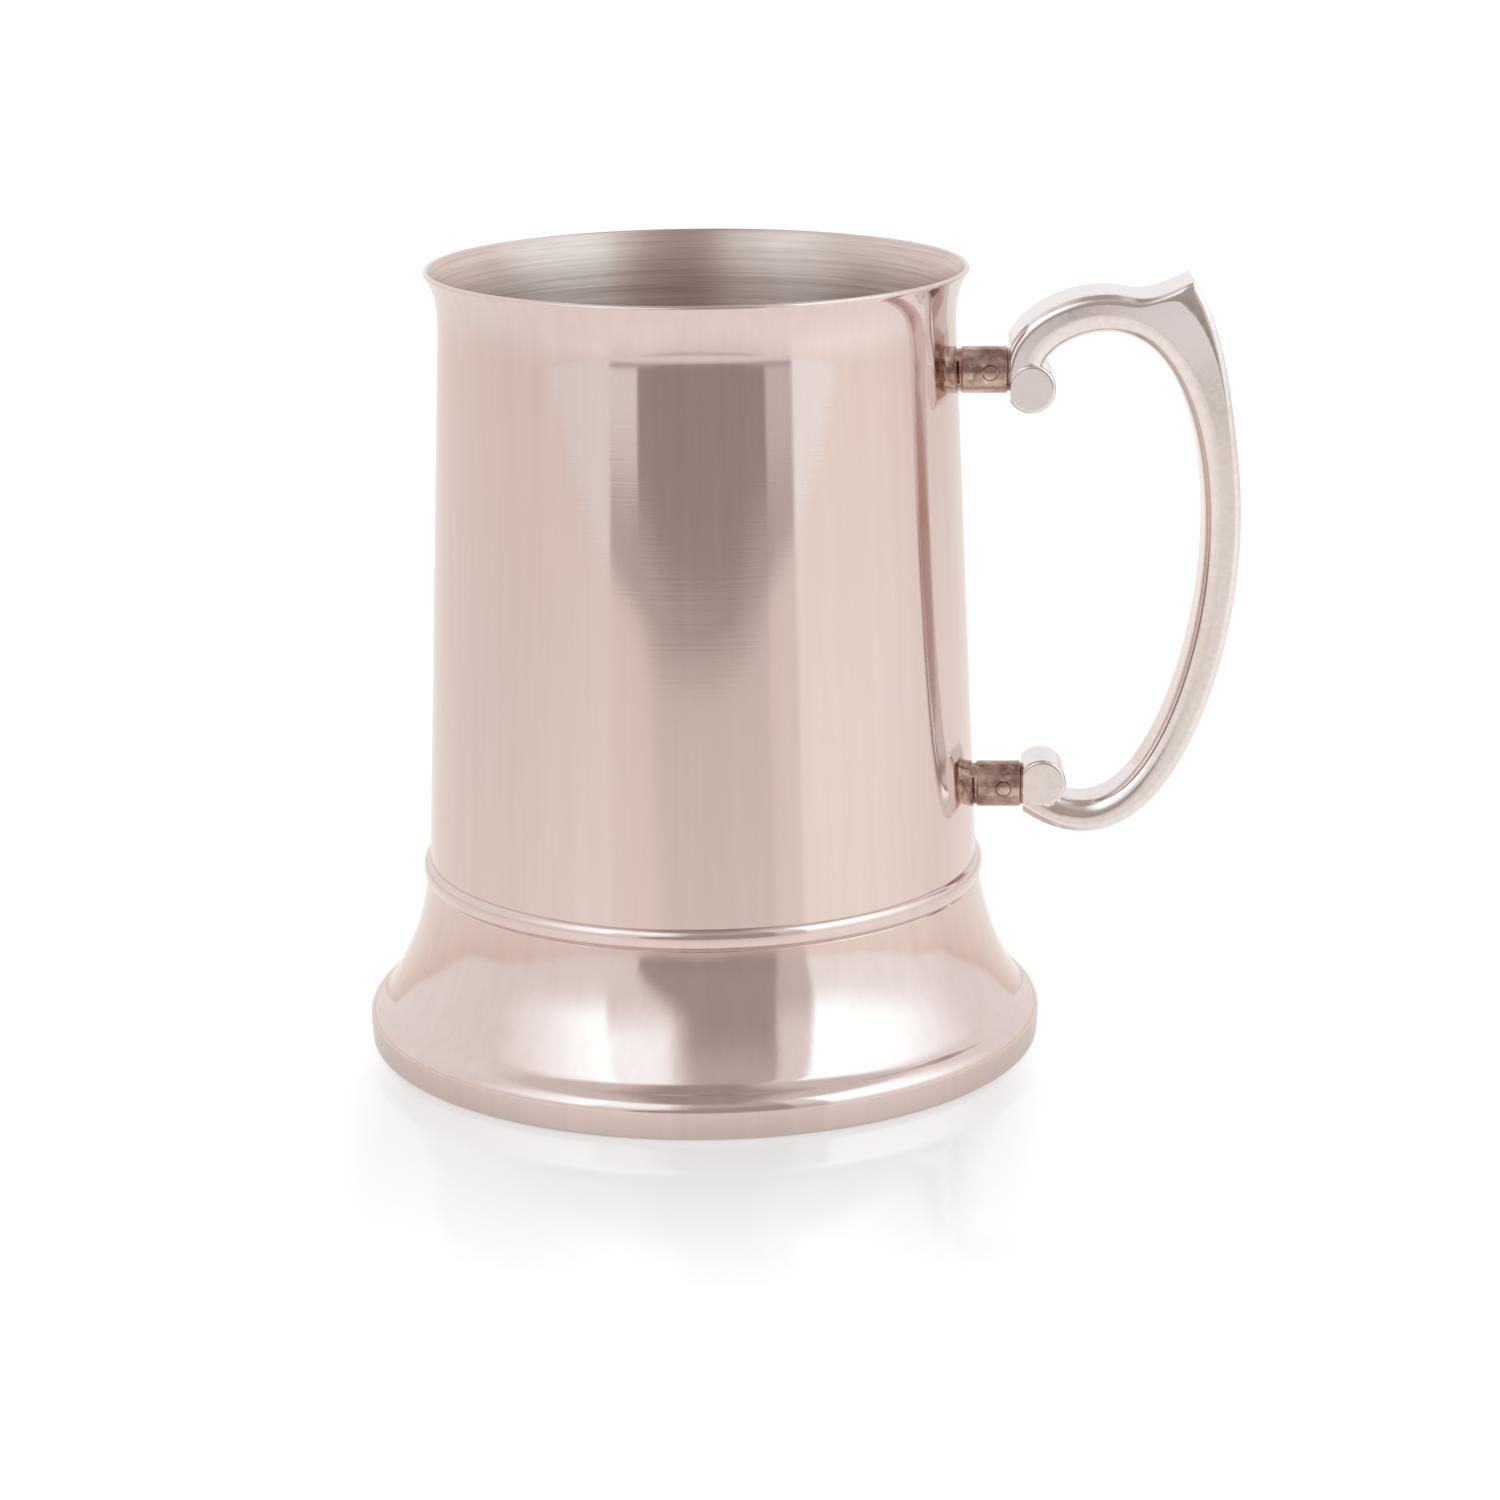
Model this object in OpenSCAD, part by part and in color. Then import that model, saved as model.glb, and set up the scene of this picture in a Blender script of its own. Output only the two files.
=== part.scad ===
// Lidless straight-sided drinking tankard in polished sheet metal, with a cast scroll handle.
// Millimetres, +Z up. The origin is the centre of the ring that the foot stands on, and the
// handle reaches out along +X.

/* [Cup] */
// Height of the rim above the table
rim_h = 125; // [120:1:140]
// Thickness of the sheet that the cup and foot are made of
sheet = 0.8; // [0.6:0.1:1.0]
// Outer radius of the body just above the seam bead
body_r = 44.1; // [43.8:0.1:44.3]
// Angle by which the body's side leans in towards the rim
body_taper = 2.39; // [1.5:0.1:3]
// Length of the flared part of the wall under the rim
lip_h = 8.8; // [7:0.1:12]
// How far the rim stands out past the narrowest part of the wall
lip_out = 2.08; // [1:0.01:3]
// Height of the drinking well's floor above the table
floor_z = 17; // [15:0.5:19]
// Length of the turned-down flange round the well's floor
floor_flange = 3; // [2.8:0.1:4]

/* [Foot] */
// Widest radius of the foot
foot_r = 54.4; // [54:0.1:55]
// Outer radius of the foot's collar under the seam bead
collar_r = 44.57; // [44.5:0.01:44.7]
// Height of the collar's top edge
collar_z = 28.5; // [28:0.1:28.6]
// Radius of the hollow curve between collar and base moulding
cove_r = 44; // [43:0.1:45]
// How far that curve's centre lies above the seam bead's lower edge
cove_lead = 4.6; // [4:0.1:5]
// Height of the base moulding's widest line
roll_z = 4.4; // [4:0.1:5]
// Height of the rounded shoulder above that line
roll_h = 4.1; // [3.9:0.1:4.3]
// Depth of the rounded shoulder, measured inwards
roll_w = 8.25; // [8:0.05:8.5]
// How far the base moulding draws in again where it meets the table
toe_in = 0.2; // [0:0.1:0.6]
// Width of the ring that rests on the table
rest_w = 3.5; // [2.5:0.5:6]

/* [Seam bead] */
// Height of the bead's lower edge
bead_z = 27.3; // [27:0.1:27.6]
// Height of the bead from edge to edge
bead_h = 3.1; // [2.8:0.1:3.3]
// Radius of the bead's crest
bead_r = 45.1; // [45:0.1:45.6]

/* [Handle] */
// Width of the handle at its upper scroll
strap_w_top = 14; // [12:0.5:15]
// Width of the handle at its lower scroll
strap_w_low = 9.5; // [9:0.5:12]
// Thickness of the handle at its upper scroll
strap_d_top = 6.2; // [5.5:0.1:6.5]
// Thickness of the handle at its lower scroll
strap_d_low = 5.1; // [4.5:0.1:5.5]
// Rounding of the handle's long edges
strap_round = 2.1; // [1.5:0.1:2.2]
// How far the thumb rest stands up from the handle's back
thumb_h = 6.2; // [3:0.1:7]
// Radius of the two scroll ends
scroll_r = 3.85; // [3.6:0.05:4]
// Rounding of the scroll ends' rims
scroll_round = 0.6; // [0.3:0.1:0.8]

/* [Fixings] */
// Height of the upper ferrule's axis
upper_z = 108.4; // [107:0.1:110]
// Height of the lower ferrule's axis
lower_z = 41.1; // [40:0.1:42]
// Distance of the handle's upper pad from the cup's axis
upper_pad = 48.9; // [48.6:0.1:49.2]
// Distance of the handle's lower pad from the cup's axis
lower_pad = 51.5; // [51.3:0.1:52]
// Outer radius of a ferrule
ferrule_r = 3.7; // [3.5:0.1:4]
// Radius of the spigot that a ferrule holds
spigot_r = 2.2; // [2:0.1:2.5]
// Length of that spigot
spigot_l = 5.6; // [4.5:0.1:6]
// Radius of the lock pin through ferrule and spigot
pin_r = 1.1; // [0.8:0.1:1.3]

/* [Hidden] */
$fn = 96;

// Inner and outer radius of the wall's drawn-in end, which stands inside the foot's collar
socket_r = collar_r - sheet;
well_r = socket_r - sheet;
step_h = 0.4;
wall_low = floor_z - floor_flange;
bead_top = bead_z + bead_h;

// Flared lip: an arc on the wall's middle line, tangent to the cone where it starts
lip_start = rim_h - lip_h;
lip_mid = [side_r(lip_start) - sheet / 2 * cos(body_taper), lip_start - sheet / 2 * sin(body_taper)];
lip_end = [side_r(lip_start) + lip_out - sheet / 2, rim_h - sheet / 2];
lip_step = lip_end - lip_mid;
lip_r = (lip_step * lip_step) / (2 * (lip_step * [cos(body_taper), sin(body_taper)]));
lip_centre = lip_mid + lip_r * [cos(body_taper), sin(body_taper)];
lip_last = asin((lip_centre.y - lip_end.y) / lip_r);

// Foot: the hollow curve starts under the bead, already leaning outwards a little
cove_z = bead_z + cove_lead;
roll_centre = foot_r - roll_w;
edge_round = 0.9;

// Underside plate
plate_r = foot_r - toe_in - sheet - 0.1;
plate_step_r = 46;
plate_rise = 2.4;

// Running clearance of a spigot in its ferrule, and the small grooves at a ferrule's two ends
spigot_gap = 0.05;
groove = 0.35;
pin_back = 3.1;
far = 100;

// The handle's centre line is a smooth cubic spline, given by [x, z] control points
strap_line = [[57.5, 96.1], [49.2, 106.9], [52.2, 114.9], [63.4, 119.6], [75.4, 115.1],
              [83.1, 96], [82.3, 65.9], [71.2, 37.3], [54.4, 34.1], [33.9, 60.5]];
spans = len(strap_line) - 3;
span_steps = 11;
spline_end = spans * span_steps;
stations = spline_end + 1;
// Straight stretch that carries the handle's lower end on to its pad
tail = 3.2;
corner_steps = 4;
// Upper and lower scroll centres, [x, z]
upper_scroll = [52.1, 106.4];
lower_scroll = [54.5, 42.3];
// Station that carries the thumb rest's crest, and the crest's fall on either side
thumb_station = 30;
thumb_front = 5.7;
thumb_back = 28;
thumb_power = 2.6;
thumb_edge = 1.4;

// ---- curves -------------------------------------------------------------------------------

function side_r(z) = body_r - tan(body_taper) * (z - bead_top);
function arc(centre, radius, from, to, steps) =
    [for (i = [0:steps]) let (a = from + (to - from) * i / steps)
        centre + radius * [cos(a), sin(a)]];

function cove_at(z, inset) =
    collar_r + sqrt(cove_r * cove_r - cove_lead * cove_lead)
        - sqrt(pow(cove_r + inset, 2) - pow(cove_z - z, 2));
function roll_at(z, inset) =
    roll_centre + (roll_w - inset) * sqrt(1 - pow((z - roll_z) / (roll_h - inset), 2));
// Height where the hollow curve meets the rounded shoulder, by halving the gap
function crease(inset, low, high, tries = 20) =
    let (mid = (low + high) / 2)
    tries == 0 ? mid :
    roll_at(mid, inset) > cove_at(mid, inset) ? crease(inset, mid, high, tries - 1)
                                              : crease(inset, low, mid, tries - 1);
// The foot's side from the collar's edge down to the widest line, inset by a thickness
function foot_side(inset) =
    let (fold = crease(inset, roll_z + sheet, roll_z + roll_h - inset - 0.05),
         cove_steps = 20, roll_steps = 10)
    concat([[collar_r - inset, collar_z]],
           [for (i = [0:cove_steps]) let (z = bead_z + (fold - bead_z) * i / cove_steps)
                [cove_at(z, inset), z]],
           [for (i = [1:roll_steps])
                let (a = asin((fold - roll_z) / (roll_h - inset)) * (1 - i / roll_steps),
                     z = roll_z + (roll_h - inset) * sin(a))
                [roll_at(z, inset), z]]);

function reversed(points) = [for (i = [len(points) - 1:-1:0]) points[i]];

// ---- cup ----------------------------------------------------------------------------------

module body_wall() {
    inner_side = sheet / cos(body_taper);
    outer_lip = arc(lip_centre, lip_r - sheet / 2, 180 + body_taper, 180 + lip_last, 14);
    inner_lip = arc(lip_centre, lip_r + sheet / 2, 180 + body_taper, 180 + lip_last, 14);
    rim = arc(lip_end, sheet / 2, lip_last, 180 + lip_last, 6);
    color("rosybrown") rotate_extrude() polygon(concat(
        [[socket_r, wall_low], [socket_r, collar_z],
         [side_r(collar_z + step_h), collar_z + step_h]],
        outer_lip, rim, reversed(inner_lip),
        [[side_r(collar_z + step_h) - inner_side, collar_z + step_h], [well_r, collar_z - step_h],
         [well_r, wall_low]]));
}

module cup_bottom() {
    outer = 2.4;
    color("silver") rotate_extrude() polygon(concat(
        [[0, floor_z - sheet], [0, floor_z]],
        arc([well_r - outer, floor_z - outer], outer, 90, 0, 6),
        [[well_r, wall_low], [well_r - sheet, wall_low]],
        arc([well_r - outer, floor_z - outer], outer - sheet, 0, 90, 6)));
}

// ---- foot ---------------------------------------------------------------------------------

module foot_skirt() {
    toe_r = foot_r - toe_in;
    color("rosybrown") rotate_extrude() polygon(concat(
        foot_side(0),
        arc([toe_r - edge_round, edge_round], edge_round, 0, -90, 4),
        [[toe_r - rest_w, 0], [toe_r - rest_w, sheet], [toe_r - sheet, sheet]],
        reversed(foot_side(sheet))));
}

module seam_bead() {
    crest = [for (i = [0:12]) let (a = 90 - 180 * i / 12,
                                  back = i < 6 ? side_r(bead_top) : collar_r)
        [back + (bead_r - back) * cos(a), bead_z + bead_h / 2 * (1 + sin(a))]];
    color("rosybrown") rotate_extrude() polygon(concat(
        crest,
        [[collar_r, collar_z], [socket_r, collar_z],
         [side_r(collar_z + step_h), collar_z + step_h]]));
}

module base_plate() {
    rise_w = 3;
    color("silver") rotate_extrude() polygon([
        [plate_r, sheet], [plate_r, 2 * sheet], [plate_step_r, 2 * sheet],
        [plate_step_r - rise_w, 2 * sheet + plate_rise], [0, 2 * sheet + plate_rise],
        [0, sheet + plate_rise], [plate_step_r - rise_w - sheet / 2, sheet + plate_rise],
        [plate_step_r - sheet / 2, sheet]]);
}

// ---- fixings ------------------------------------------------------------------------------

// Turns a piece made along +Z so that it runs outwards along +X at height z
module along_x(z) { translate([0, 0, z]) rotate([0, 90, 0]) children(); }

// The cup's outside, as a solid to cut a ferrule's end to the wall's curve
module cup_outside() {
    rotate_extrude() polygon([[0, bead_top], [side_r(bead_top), bead_top],
                              [side_r(lip_start), lip_start], [0, lip_start]]);
}

module ferrule(z, pad) {
    wall = side_r(z);
    bore_l = spigot_l + 0.2;
    ring = [[0, wall - 1], [ferrule_r - groove, wall - 1], [ferrule_r - groove, wall + groove],
            [ferrule_r, wall + 2 * groove], [ferrule_r, pad - 1.5 * groove],
            [ferrule_r - groove, pad - groove / 2], [ferrule_r - groove, pad], [0, pad]];
    color("sienna") difference() {
        along_x(z) rotate_extrude() polygon(ring);
        cup_outside();
        along_x(z) translate([0, 0, pad - bore_l]) cylinder(r = spigot_r + spigot_gap, h = bore_l + 1);
        pin_shaft(z, pad, far);
    }
}

module upper_ferrule() { ferrule(upper_z, upper_pad); }
module lower_ferrule() { ferrule(lower_z, lower_pad); }

// A pin along Y through the middle of a ferrule
module pin_shaft(z, pad, length) {
    translate([pad - pin_back, 0, z]) rotate([90, 0, 0]) cylinder(r = pin_r, h = length, center = true);
}

module lock_pin(z, pad) {
    color("peru") intersection() {
        pin_shaft(z, pad, 2 * ferrule_r);
        along_x(z) cylinder(r = ferrule_r, h = pad);
    }
}

module upper_pin() { lock_pin(upper_z, upper_pad); }
module lower_pin() { lock_pin(lower_z, lower_pad); }

// ---- handle -------------------------------------------------------------------------------

// Point and direction of the centre line at a station; past the spline's end it runs straight on
function line_at(k) =
    let (i = min(floor(k / span_steps), spans - 1), t = min(k / span_steps - i, 1),
         four = [for (j = [0:3]) strap_line[i + j]],
         point = [pow(1 - t, 3), 3 * t * t * t - 6 * t * t + 4,
                  -3 * t * t * t + 3 * t * t + 3 * t + 1, t * t * t] / 6 * four)
    k > spline_end ? point + tail * way_at(spline_end) : point;
function way_at(k) =
    let (i = min(floor(k / span_steps), spans - 1), t = min(k / span_steps - i, 1),
         four = [for (j = [0:3]) strap_line[i + j]],
         way = [-pow(1 - t, 2), 3 * t * t - 4 * t, -3 * t * t + 2 * t + 1, t * t] / 2 * four)
    way / norm(way);
// Distance along the line to each station
run = [for (k = 0, s = 0; k <= stations; s = s + norm(line_at(k + 1) - line_at(k)), k = k + 1) s];

// Share of the thumb rest's height at a station: 1 at the crest, falling to 0 along both flanks
function thumb(k) =
    let (d = run[k] - run[thumb_station])
    pow(max(0, 1 - (d < 0 ? -d / thumb_front : d / thumb_back)), thumb_power);

// One cross-section: a rectangle with rounded corners, its outer side raised by the thumb rest
function section(k) =
    let (u = run[k] / run[stations],
         half_w = (strap_w_top + (strap_w_low - strap_w_top) * u) / 2,
         half_d = (strap_d_top + (strap_d_low - strap_d_top) * u) / 2,
         back = half_d + thumb_h * thumb(k),
         back_round = strap_round + (thumb_edge - strap_round) * sqrt(thumb(k)))
    concat(corner(half_w, back, back_round, 0), corner(-half_w, back, back_round, 90),
           corner(-half_w, -half_d, strap_round, 180), corner(half_w, -half_d, strap_round, 270));
function corner(y, d, r, from) =
    arc([y - sign(y) * r, d - sign(d) * r], r, from, from + 90, corner_steps - 1);

module strap() {
    n = 4 * corner_steps;
    points = [for (k = [0:stations])
        let (p = line_at(k), way = way_at(k), out = [-way.y, way.x])
        for (q = section(k)) [p.x + out.x * q.y, q.x, p.y + out.y * q.y]];
    sides = [for (k = [0:stations - 1], j = [0:n - 1])
        let (a = k * n + j, b = k * n + (j + 1) % n)
        each [[b, a, b + n], [a, a + n, b + n]]];
    first = [for (j = [0:n - 1]) j];
    last = [for (j = [n - 1:-1:0]) stations * n + j];
    polyhedron(points, concat(sides, [first, last]), convexity = 6);
}

module scroll(centre, width) {
    half = width / 2;
    translate([centre.x, 0, centre.y]) rotate([90, 0, 0]) rotate_extrude() polygon(concat(
        [[0, -half]],
        arc([scroll_r - scroll_round, scroll_round - half], scroll_round, -90, 0, 3),
        arc([scroll_r - scroll_round, half - scroll_round], scroll_round, 0, 90, 3),
        [[0, half]]));
}

module pad_cut(z, pad) {
    translate([pad - 20, -10, z - 8]) cube([20, 20, 16]);
}

module handle() {
    color("gainsboro") difference() {
        union() {
            difference() {
                union() {
                    strap();
                    scroll(upper_scroll, strap_w_top + 0.2);
                    scroll(lower_scroll, strap_w_low + 0.2);
                }
                pad_cut(upper_z, upper_pad);
                pad_cut(lower_z, lower_pad);
            }
            along_x(upper_z) translate([0, 0, upper_pad - spigot_l]) cylinder(r = spigot_r, h = spigot_l + 2);
            along_x(lower_z) translate([0, 0, lower_pad - spigot_l]) cylinder(r = spigot_r, h = spigot_l + 2);
        }
        pin_shaft(upper_z, upper_pad, far);
        pin_shaft(lower_z, lower_pad, far);
    }
}

body_wall();
cup_bottom();
foot_skirt();
seam_bead();
base_plate();
upper_ferrule();
lower_ferrule();
handle();
upper_pin();
lower_pin();
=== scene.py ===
"""Finished look of a lidless straight-sided tankard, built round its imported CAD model.

Metres, in the CAD model's frame: +Z up through the open mouth, +X towards the handle.
"""
from math import asin, atan, cos, floor, hypot, pi, radians, sin, sqrt, tan

import bmesh
import bpy
from mathutils import Matrix, Vector


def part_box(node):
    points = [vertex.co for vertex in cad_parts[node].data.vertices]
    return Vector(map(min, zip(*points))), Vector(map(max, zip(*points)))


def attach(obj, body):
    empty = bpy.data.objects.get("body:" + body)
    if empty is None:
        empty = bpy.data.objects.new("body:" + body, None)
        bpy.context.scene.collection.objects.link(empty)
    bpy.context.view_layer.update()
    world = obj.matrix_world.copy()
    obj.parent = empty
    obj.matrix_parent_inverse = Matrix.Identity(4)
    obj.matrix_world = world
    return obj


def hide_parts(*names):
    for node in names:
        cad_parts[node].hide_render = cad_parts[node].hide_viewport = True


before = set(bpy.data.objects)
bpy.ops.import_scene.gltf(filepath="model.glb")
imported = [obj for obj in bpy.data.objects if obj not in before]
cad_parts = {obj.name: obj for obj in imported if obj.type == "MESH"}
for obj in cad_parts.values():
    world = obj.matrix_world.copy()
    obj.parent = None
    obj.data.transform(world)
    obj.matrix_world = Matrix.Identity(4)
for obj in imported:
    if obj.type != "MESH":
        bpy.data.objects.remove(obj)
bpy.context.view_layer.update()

MM = 0.001
MICRON = 0.000001
DEG = radians(1)

# ---- sizes ----------------------------------------------------------------------------------

WALL_LOW, WALL_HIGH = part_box("body_wall")
FOOT_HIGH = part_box("foot_skirt")[1]
BEAD_LOW, BEAD_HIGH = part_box("seam_bead")
WELL_LOW, WELL_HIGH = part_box("cup_bottom")
PLATE_LOW, PLATE_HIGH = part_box("base_plate")

# Sheet metal, and the rounding of the foot's lower edge
SHEET = 0.8 * MM
EDGE_ROUND = 0.9 * MM

# Cup: a side that leans in by TAPER, steps in to its neck at STEP_Z, and bends out ever faster into
# the lip over LIP_RISE. The rim stands LIP_OUT wider than the side does LIP_H below it
TAPER = radians(2.39)
RIM_Z = WALL_HIGH.z
BEAD_TOP = BEAD_HIGH.z
STEP_Z = 28.9 * MM
BODY_R = WALL_HIGH.x - tan(TAPER) * (BEAD_TOP - STEP_Z)
LIP_H = 8.8 * MM
LIP_OUT = 2.08 * MM
LIP_RISE = 11 * MM
NECK_TOP = 28.1 * MM
NECK_R = WELL_HIGH.x
WELL_BEND = 2.4 * MM

# Foot: a collar round the neck, a hollow cove whose centre lies COVE_LEAD above the bead's lower
# edge, an elliptical base moulding that is widest at ROLL_Z, and a ring to stand on
COLLAR_R = NECK_R + 2 * SHEET
COLLAR_Z = FOOT_HIGH.z
COVE_R = 44 * MM
COVE_LEAD = 4.6 * MM
ROLL_Z = 4.4 * MM
ROLL_H = 4.1 * MM
ROLL_W = 8.25 * MM
TOE_IN = 0.2 * MM
REST_W = 3.5 * MM
CREASE_ABOVE = 1.0 * MM
CREASE_BELOW = 0.55 * MM
SEAM_GROOVE = 0.22 * MM

# The cove's slight ripple, which fades in above RIPPLE_LOW and out below RIPPLE_HIGH
RIPPLE = 0.030 * MM
RIPPLE_LOW = 8 * MM
RIPPLE_HIGH = 27 * MM
RIPPLE_FADE = 6 * MM

# Underside plate: a raised middle, its slope PLATE_SLOPE wide down to PLATE_STEP_R, and eased over
# PLATE_SOFT at its top
PLATE_STEP_R = 46 * MM
PLATE_SLOPE = 3 * MM
PLATE_SOFT = 0.6 * MM

# Handle: a uniform cubic spline led by these [x, z] control points, in millimetres
STRAP_LINE = [(57.5, 96.1), (49.2, 106.9), (52.2, 114.9), (63.4, 119.6), (75.4, 115.1),
              (83.1, 96), (82.3, 65.9), (71.2, 37.3), (54.4, 34.1), (33.9, 60.5)]
SPANS = len(STRAP_LINE) - 3

# Strap: width and depth at its two ends, its width even over the first EVEN_WIDTH of its length,
# its edges' rounding on the outer and inner side, and its straight tail in the lower scroll
STRAP_W = (14 * MM, 9.5 * MM)
STRAP_D = (6.2 * MM, 5.1 * MM)
EVEN_WIDTH = 0.12
EVEN_BLEND = 0.04
BACK_ROUND = 1.5 * MM
STRAP_ROUND = 2.1 * MM
INNER_ROLL = 0.8 * MM
TAIL = 3.2 * MM

# Thumb rest: a horn on the strap's outer side, THUMB_AT spans along it, which falls away over
# THUMB_FRONT before its tip and over THUMB_BACK after it
THUMB_H = 6.2 * MM
THUMB_AT = 30 / 11
THUMB_FRONT = 5.7 * MM
THUMB_BACK = 28 * MM
THUMB_POWER = 2.6
THUMB_EDGE = 0.9 * MM
THUMB_SLOPE = 2.8 * MM

# Scrolls: discs a little wider than the strap, centred at these [x, z]
SCROLL_R = 3.85 * MM
SCROLL_ROUND = 0.6 * MM
SCROLL_PROUD = 0.2 * MM
UPPER_SCROLL = (52.1 * MM, 106.4 * MM)
LOWER_SCROLL = (54.5 * MM, 42.3 * MM)

# Fixings: studs with a groove at each end, bored for the handle's spigots and the cross pins
SPIGOT_R = 2.2 * MM
SPIGOT_L = 5.6 * MM
SPIGOT_GAP = 0.05 * MM
SPIGOT_ROOT = 2 * MM
BORE_SPARE = 0.2 * MM
GROOVE = 0.35 * MM
GROOVE_SLOPE = 0.1 * MM
STUD_ROUND = 0.25 * MM
PIN_R = 1.1 * MM
PIN_SEAM = 0.14 * MM

# The block that cuts each pad flat: its length, half width and half height
PAD_CUT = (20 * MM, 10 * MM, 8 * MM)

# How far a piece or a cutter runs on past the face that trims it
OVERRUN = 1 * MM

# Facets round a turned piece, a stud or scroll, a bore and a pin
RING_STEPS = 288
STUD_STEPS = 96
BORE_STEPS = 64
PIN_STEPS = 40

# Steps along the lip and round the bead, in each span of the strap and round each of its corners
CURVE_STEPS = 32
SPAN_STEPS = 24
CORNER_STEPS = 8

# Outline points closer than this are one point
SAME_POINT = 1e-7

# Edges that turn by more than this many degrees stay sharp: on a turned piece, and on a cut one
TURNED_SHARP = 32
CUT_SHARP = 30

# An extra outline point just along a flat keeps its shading flat: this share of the rounding
# beside it on the strap, and of a millimetre on the scrolls
HOLD = 0.03

# A face whose normal lies this close to Y is one of the scrolls' or strap's flat sides
DISC_FLAT = 0.99999


def side_radius(z):
    """Outer radius of the cup's leaning side."""
    return BODY_R - tan(TAPER) * (z - BEAD_TOP)


# ---- mesh tools -----------------------------------------------------------------------------


def arc(centre, radius, start, end, steps):
    """Points along an arc, angles in radians."""
    angles = [start + (end - start) * i / steps for i in range(steps + 1)]
    return [(centre[0] + radius * cos(a), centre[1] + radius * sin(a)) for a in angles]


def line(start, end, steps):
    """Evenly spaced points from start to end."""
    return [tuple(a + (b - a) * i / steps for a, b in zip(start, end)) for i in range(steps + 1)]


def about_z(radius, along, angle):
    """A turned point, its axis upright."""
    return (radius * cos(angle), radius * sin(angle), along)


def about_x(radius, along, angle):
    """A turned point, its axis towards the handle."""
    return (along, radius * cos(angle), radius * sin(angle))


def about_y(radius, along, angle):
    """A turned point, its axis across the handle."""
    return (radius * cos(angle), along, radius * sin(angle))


def revolve(runs, place=about_z, steps=RING_STEPS, centre=(0, 0, 0), warp=None):
    """A closed turned solid. Each run is (points, metal): [(radius, along), ...] and a slot index."""
    points, metals = [], []
    for run, metal in runs:
        for point in run:
            if not points or hypot(point[0] - points[-1][0], point[1] - points[-1][1]) > SAME_POINT:
                points.append(point)
                metals.append(metal)
    mesh = bmesh.new()
    rings = []
    for radius, along in points:
        if radius < SAME_POINT:
            rings.append([mesh.verts.new(Vector(place(0, along, 0)) + Vector(centre))])
            continue
        ring = []
        for i in range(steps):
            angle = 2 * pi * i / steps
            out = radius + (warp(angle, along) if warp else 0)
            ring.append(mesh.verts.new(Vector(place(out, along, angle)) + Vector(centre)))
        rings.append(ring)
    closed = len(rings[0]) > 1 and len(rings[-1]) > 1
    for k in range(len(rings) if closed else len(rings) - 1):
        near, next_ring = rings[k], rings[(k + 1) % len(rings)]
        for i in range(steps):
            j = (i + 1) % steps
            corners = [near[i % len(near)], near[j % len(near)]]
            corners += [next_ring[j % len(next_ring)], next_ring[i % len(next_ring)]]
            face = mesh.faces.new(list(dict.fromkeys(corners)))
            face.material_index = metals[(k + 1) % len(rings)]
    return mesh


def piece(name, mesh, metals):
    """The finished object: outward normals, smooth faces and sharp edges."""
    bmesh.ops.recalc_face_normals(mesh, faces=mesh.faces)
    data = bpy.data.meshes.new(name)
    mesh.to_mesh(data)
    mesh.free()
    for metal in metals:
        data.materials.append(metal)
    obj = bpy.data.objects.new(name, data)
    bpy.context.scene.collection.objects.link(obj)
    shade(obj, TURNED_SHARP)
    return obj


def shade(obj, sharp):
    """Smooth shading that leaves flat faces flat, and edges sharp that turn by more than sharp."""
    obj.data.shade_smooth()
    obj.data.set_sharp_from_angle(angle=radians(sharp))
    weigh = obj.modifiers.new("flat_faces_stay_flat", "WEIGHTED_NORMAL")
    weigh.keep_sharp = True
    weigh.weight = 96
    bake_modifiers(obj)


def bake_modifiers(obj):
    """Applies the object's modifiers to its mesh."""
    evaluated = obj.evaluated_get(bpy.context.evaluated_depsgraph_get())
    baked = bpy.data.meshes.new_from_object(evaluated)
    obj.modifiers.clear()
    spare, obj.data = obj.data, baked
    bpy.data.meshes.remove(spare)
    baked.name = obj.name


def combine(target, mesh, operation):
    """Unites target with a solid, or cuts that solid out of it."""
    tool = bpy.data.objects.new("tool", bpy.data.meshes.new("tool"))
    bmesh.ops.recalc_face_normals(mesh, faces=mesh.faces)
    mesh.to_mesh(tool.data)
    mesh.free()
    bpy.context.scene.collection.objects.link(tool)
    cut = target.modifiers.new("cut", "BOOLEAN")
    cut.operation = operation
    cut.solver = "EXACT"
    cut.object = tool
    bake_modifiers(target)
    spare = tool.data
    bpy.data.objects.remove(tool)
    bpy.data.meshes.remove(spare)


def block(low, high):
    """A plain box to cut with."""
    mesh = bmesh.new()
    bmesh.ops.create_cube(mesh, size=1)
    size, middle = Vector(high) - Vector(low), (Vector(high) + Vector(low)) / 2
    bmesh.ops.transform(mesh, matrix=Matrix.Translation(middle) @ Matrix.Diagonal((*size, 1)),
                        verts=mesh.verts)
    return mesh


def settle(obj, node):
    """Hangs the piece on the root body and hides the CAD node that it stands in for."""
    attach(obj, "root")
    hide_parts(node)
    return obj


# ---- material tools -------------------------------------------------------------------------


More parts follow.
